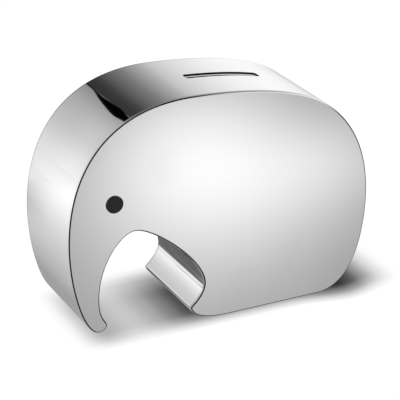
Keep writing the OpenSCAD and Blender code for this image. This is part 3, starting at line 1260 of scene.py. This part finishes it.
def studio_world():
    """The light round the body: mirrors see the ring, other surfaces an even light."""
    world = bpy.data.worlds.new("soft_studio")
    tree, add, calc, span, blend = with_tree(world)
    x, y, z = axes(tree, add("ShaderNodeTexCoord").outputs["Generated"])
    turn = calc("FRACT", calc("DIVIDE", calc("ARCTAN2", z, x), 2 * math.pi))
    angle = calc("MULTIPLY", turn, 360)
    sideways = calc("ABSOLUTE", y)
    # The dark overhead panel narrows from the near side to the far side.
    past = []
    for side in (PANEL_START, PANEL_END):
        shares = [(s, (degrees - PANEL_LOW) / PANEL_SPAN) for s, degrees in side]
        place = value_ramp(tree, sideways, shares)
        beyond = calc("SUBTRACT", angle, calc("MULTIPLY_ADD", place, PANEL_SPAN, PANEL_LOW))
        past.append(span(beyond, -PANEL_SOFT, PANEL_SOFT))
    panel = calc("SUBTRACT", *past)
    falloff = span(sideways, 0.853, 0.866, 0.0, 0.15, smooth=True)
    shade = calc("MULTIPLY", falloff, span(angle, 96, 120, 0.25, 1.0))
    ring = grey_ramp(tree, angle, STUDIO_RING)
    shaded = blend(calc("MAXIMUM", shade, panel), ring, DARK_PANEL)
    # Straight out to the sides the ring fades into an even light.
    to_side = span(sideways, 0.93, 0.985, smooth=True)
    pattern = blend(to_side, shaded, SIDE_LIGHT)
    # Only the far side of the studio is this dark overhead.
    pattern = calc("MAXIMUM", pattern, span(y, 0.45, 0.75, 0.28, 0.0))
    rays = add("ShaderNodeLightPath").outputs
    even = blend(rays["Is Diffuse Ray"], pattern, SOFT_LIGHT)
    seen = blend(rays["Is Camera Ray"], even, (1, 1, 1))
    light = add("ShaderNodeBackground", {"Color": seen})
    add("ShaderNodeOutputWorld", {"Surface": light.outputs[0]})
    bpy.context.scene.world = world


# Pools of light on the floor in front, as the near plate mirrors them: strength, slant, place
# and width along the body, distance and width in front of it.
FLOOR_POOLS = (
    (0.73, 0.40, 0.005, 0.070, 0.155, 0.125),
    (0.26, 0.50, 0.070, 0.050, 0.130, 0.060),
)
FLOOR_FRONT = 0.34
# Display level of the floor behind: to the left by distance in front of the body's middle, and
# to the right by distance from it.
FLOOR_LEFT = (
    (0.060, 150), (0.064, 156), (0.071, 158), (0.080, 178), (0.088, 190), (0.093, 196),
    (0.105, 206), (0.116, 213), (0.132, 222), (0.148, 231), (0.168, 239), (0.189, 245),
    (0.230, 252), (0.273, 256),
)
FLOOR_RIGHT = (
    (0.05, 100), (0.09, 120), (0.18, 170), (0.31, 197), (0.6, 218), (0.945, 230), (1.2, 237),
)
LIT_STRIP = 232

# Shade on the floor under the body: share of light kept off, by place along and across it.
SHADE_ALONG = (
    (-0.076, 0.0), (-0.070, 0.02), (-0.064, 0.185), (-0.056, 0.56), (-0.048, 0.53), (-0.040, 0.44),
    (-0.032, 0.53), (-0.024, 0.69), (-0.016, 0.86), (-0.008, 0.955), (0.0, 0.97), (0.056, 0.97),
    (0.064, 0.96), (0.072, 0.83), (0.080, 0.49), (0.088, 0.14), (0.096, 0.01), (0.102, 0.0),
)
SHADE_ACROSS = (
    (-0.038, 0.0), (-0.034, 0.02), (-0.030, 0.10), (-0.024, 0.57), (-0.018, 0.91), (-0.012, 1.0),
    (0.006, 1.0), (0.012, 0.94), (0.018, 0.81), (0.024, 0.65), (0.030, 0.34), (0.036, 0.06),
    (0.042, 0.0),
)
RUMP_SHADE_X = 0.060
RUMP_SHADE_WIDTH = 0.016
RUMP_SHADE_SPREAD = 0.005


def floor_behind(tree, calc, span, x, y, distance):
    """Brightness of the floor behind the body: bright to the left, dark close behind the leg."""
    left = calc("MULTIPLY", x, -1.0)
    beyond = calc("ADD", calc("MULTIPLY_ADD", x, 1.46, 0.065), y)
    slant = calc("DIVIDE", beyond, calc("MAXIMUM", left, 0.05))
    fade = calc("SUBTRACT", span(slant, 0.0, 0.3, 1.0, 0.69), 1.0)
    fade = calc("ADD", 1.0, calc("MULTIPLY", span(left, 0.09, 0.13, smooth=True), fade))
    far_left = calc("MULTIPLY", grey_ramp(tree, left, FLOOR_LEFT), fade)
    # A lit strip that the front of the leg mirrors, near the body and far behind it.
    over = calc("ADD", y, calc("MULTIPLY_ADD", x, 1.63, 0.055))
    over_far = calc("MULTIPLY_ADD", x, 1.27, y)
    strip = calc("MAXIMUM", *(
        calc("MULTIPLY", span(x, *along, smooth=True), span(place, *across, smooth=True))
        for along, place, across in (
            ((-0.100, -0.096), over, (-0.001, 0.003)), ((-0.30, -0.22), over_far, (0.0, 0.008)))))
    lit = mixed(tree, strip, far_left, [linear(LIT_STRIP) / MIRROR] * 3)
    right = grey_ramp(tree, distance, FLOOR_RIGHT)
    # The two meet sharply close behind the leg, and softly further back.
    further = calc("MAXIMUM", calc("SUBTRACT", y, 0.080), 0.0)
    place = calc("DIVIDE", calc("ADD", x, 0.041), calc("MULTIPLY_ADD", further, 0.5, 0.005))
    return mixed(tree, span(place, -1.0, 1.0, smooth=True), lit, right)


def floor_material():
    """White floor. Mirrors see it with the studio's soft pools of light and shade on it."""
    material = bpy.data.materials.new("white_floor")
    tree, add, calc, span, blend = with_tree(material)
    x, y, _ = axes(tree, add("ShaderNodeTexCoord").outputs["Object"])

    def bell(value, centre, width):
        off = calc("DIVIDE", calc("SUBTRACT", value, centre), width)
        return calc("EXPONENT", calc("MULTIPLY", calc("MULTIPLY", off, off), -1.0))

    ahead = calc("SUBTRACT", -PLATE_FACE_Y * MM, y)
    front = FLOOR_FRONT
    for strength, slant, centre, width, centre_ahead, width_ahead in FLOOR_POOLS:
        along = calc("MULTIPLY_ADD", ahead, -slant, x)
        pool = calc("MULTIPLY", bell(along, centre, width), bell(ahead, centre_ahead, width_ahead))
        front = calc("MULTIPLY_ADD", pool, strength, front)
    distance = calc("SQRT", calc("ADD", calc("MULTIPLY", x, x), calc("MULTIPLY", y, y)))
    front = calc("MAXIMUM", front, span(distance, 0.40, 0.90, 0.3, 1.1))
    back = floor_behind(tree, calc, span, x, y, distance)
    glow = add("ShaderNodeEmission", {"Color": blend(span(y, -0.024, 0.024), front, back)})
    # The soft shade under the base and the toe, which spreads forward under the rump.
    rump = bell(x, RUMP_SHADE_X, RUMP_SHADE_WIDTH)
    spread = calc("MULTIPLY_ADD", rump, RUMP_SHADE_SPREAD, y)
    shade = calc("MULTIPLY", value_ramp(tree, x, SHADE_ALONG, smooth=True),
                 value_ramp(tree, spread, SHADE_ACROSS, smooth=True))
    lit = calc("MULTIPLY_ADD", shade, -FLOOR_LIGHT, FLOOR_LIGHT)
    matt = add("ShaderNodeEmission", {"Strength": lit})
    rays = add("ShaderNodeLightPath").outputs
    mirrored = add("ShaderNodeMixShader", {
        0: rays["Is Glossy Ray"], 1: matt.outputs[0], 2: glow.outputs[0]})
    chosen = add("ShaderNodeMixShader", {
        0: add("ShaderNodeNewGeometry").outputs["Backfacing"], 1: mirrored.outputs[0],
        2: add("ShaderNodeBsdfTransparent").outputs[0]})
    add("ShaderNodeOutputMaterial", {"Surface": chosen.outputs[0]})
    return material


def soft_lamp():
    """A round lamp overhead, which the mirrors don't see."""
    lamp = bpy.data.lights.new("overhead", "AREA")
    lamp.shape = "DISK"
    lamp.size = LAMP_SIZE
    lamp.energy = LAMP_ENERGY
    overhead = linked_object("overhead", lamp)
    overhead.location = (0.0, 0.0, LAMP_HEIGHT)
    overhead.visible_glossy = False
    overhead.visible_camera = False


def place_camera(scene):
    camera = bpy.data.cameras.new("camera")
    camera.lens = CAMERA_LENS
    camera.sensor_width = CAMERA_SENSOR
    camera.clip_start = 0.01
    camera.clip_end = 50
    eye = linked_object("camera", camera)
    eye.location = CAMERA_PLACE
    eye.rotation_euler = Euler(CAMERA_TURN)
    scene.camera = eye


class BANK_OT_stage(bpy.types.Operator):
    """Set up the white floor, the soft studio light and the camera"""

    bl_idname = "coin_bank.stage"
    bl_label = "Studio"

    def execute(self, context):
        scene = context.scene
        scene.view_settings.view_transform = "Standard"
        scene.view_settings.look = "None"
        studio_world()
        size = FLOOR_HALF_SIZE
        mesh = bpy.data.meshes.new("floor")
        mesh.from_pydata(
            [(-size, -size, 0), (size, -size, 0), (size, size, 0), (-size, size, 0)],
            [], [(0, 1, 2, 3)])
        mesh.materials.append(floor_material())
        linked_object("floor", mesh)
        soft_lamp()
        place_camera(scene)
        return {"FINISHED"}


# ---------------------------------------------------------------- add-on

OPERATORS = (
    BANK_OT_side_plates, BANK_OT_back_band, BANK_OT_arch_band, BANK_OT_seat,
    BANK_OT_stopper, BANK_OT_eyes, BANK_OT_stage,
)


class BANK_PT_panel(bpy.types.Panel):
    """Lists the steps that build the coin bank, with its sizes and finishes"""

    bl_idname = "BANK_PT_panel"
    bl_label = "Elephant Coin Bank"
    bl_space_type = "VIEW_3D"
    bl_region_type = "UI"
    bl_category = "Coin Bank"

    def draw(self, context):
        layout = self.layout
        for group in (context.scene.bank_sizes, context.scene.bank_finish):
            box = layout.box()
            for key in type(group).__annotations__:
                box.prop(group, key)
        column = layout.column(align=True)
        for operator in OPERATORS:
            column.operator(operator.bl_idname)


CLASSES = (BankSizes, BankFinish, *OPERATORS, BANK_PT_panel)


def register():
    for item in CLASSES:
        bpy.utils.register_class(item)
    bpy.types.Scene.bank_sizes = PointerProperty(type=BankSizes)
    bpy.types.Scene.bank_finish = PointerProperty(type=BankFinish)


def unregister():
    del bpy.types.Scene.bank_finish
    del bpy.types.Scene.bank_sizes
    for item in reversed(CLASSES):
        bpy.utils.unregister_class(item)


def main():
    register()
    for operator in OPERATORS:
        group, name = operator.bl_idname.split(".")
        getattr(getattr(bpy.ops, group), name)()


if __name__ == "__main__":
    main()
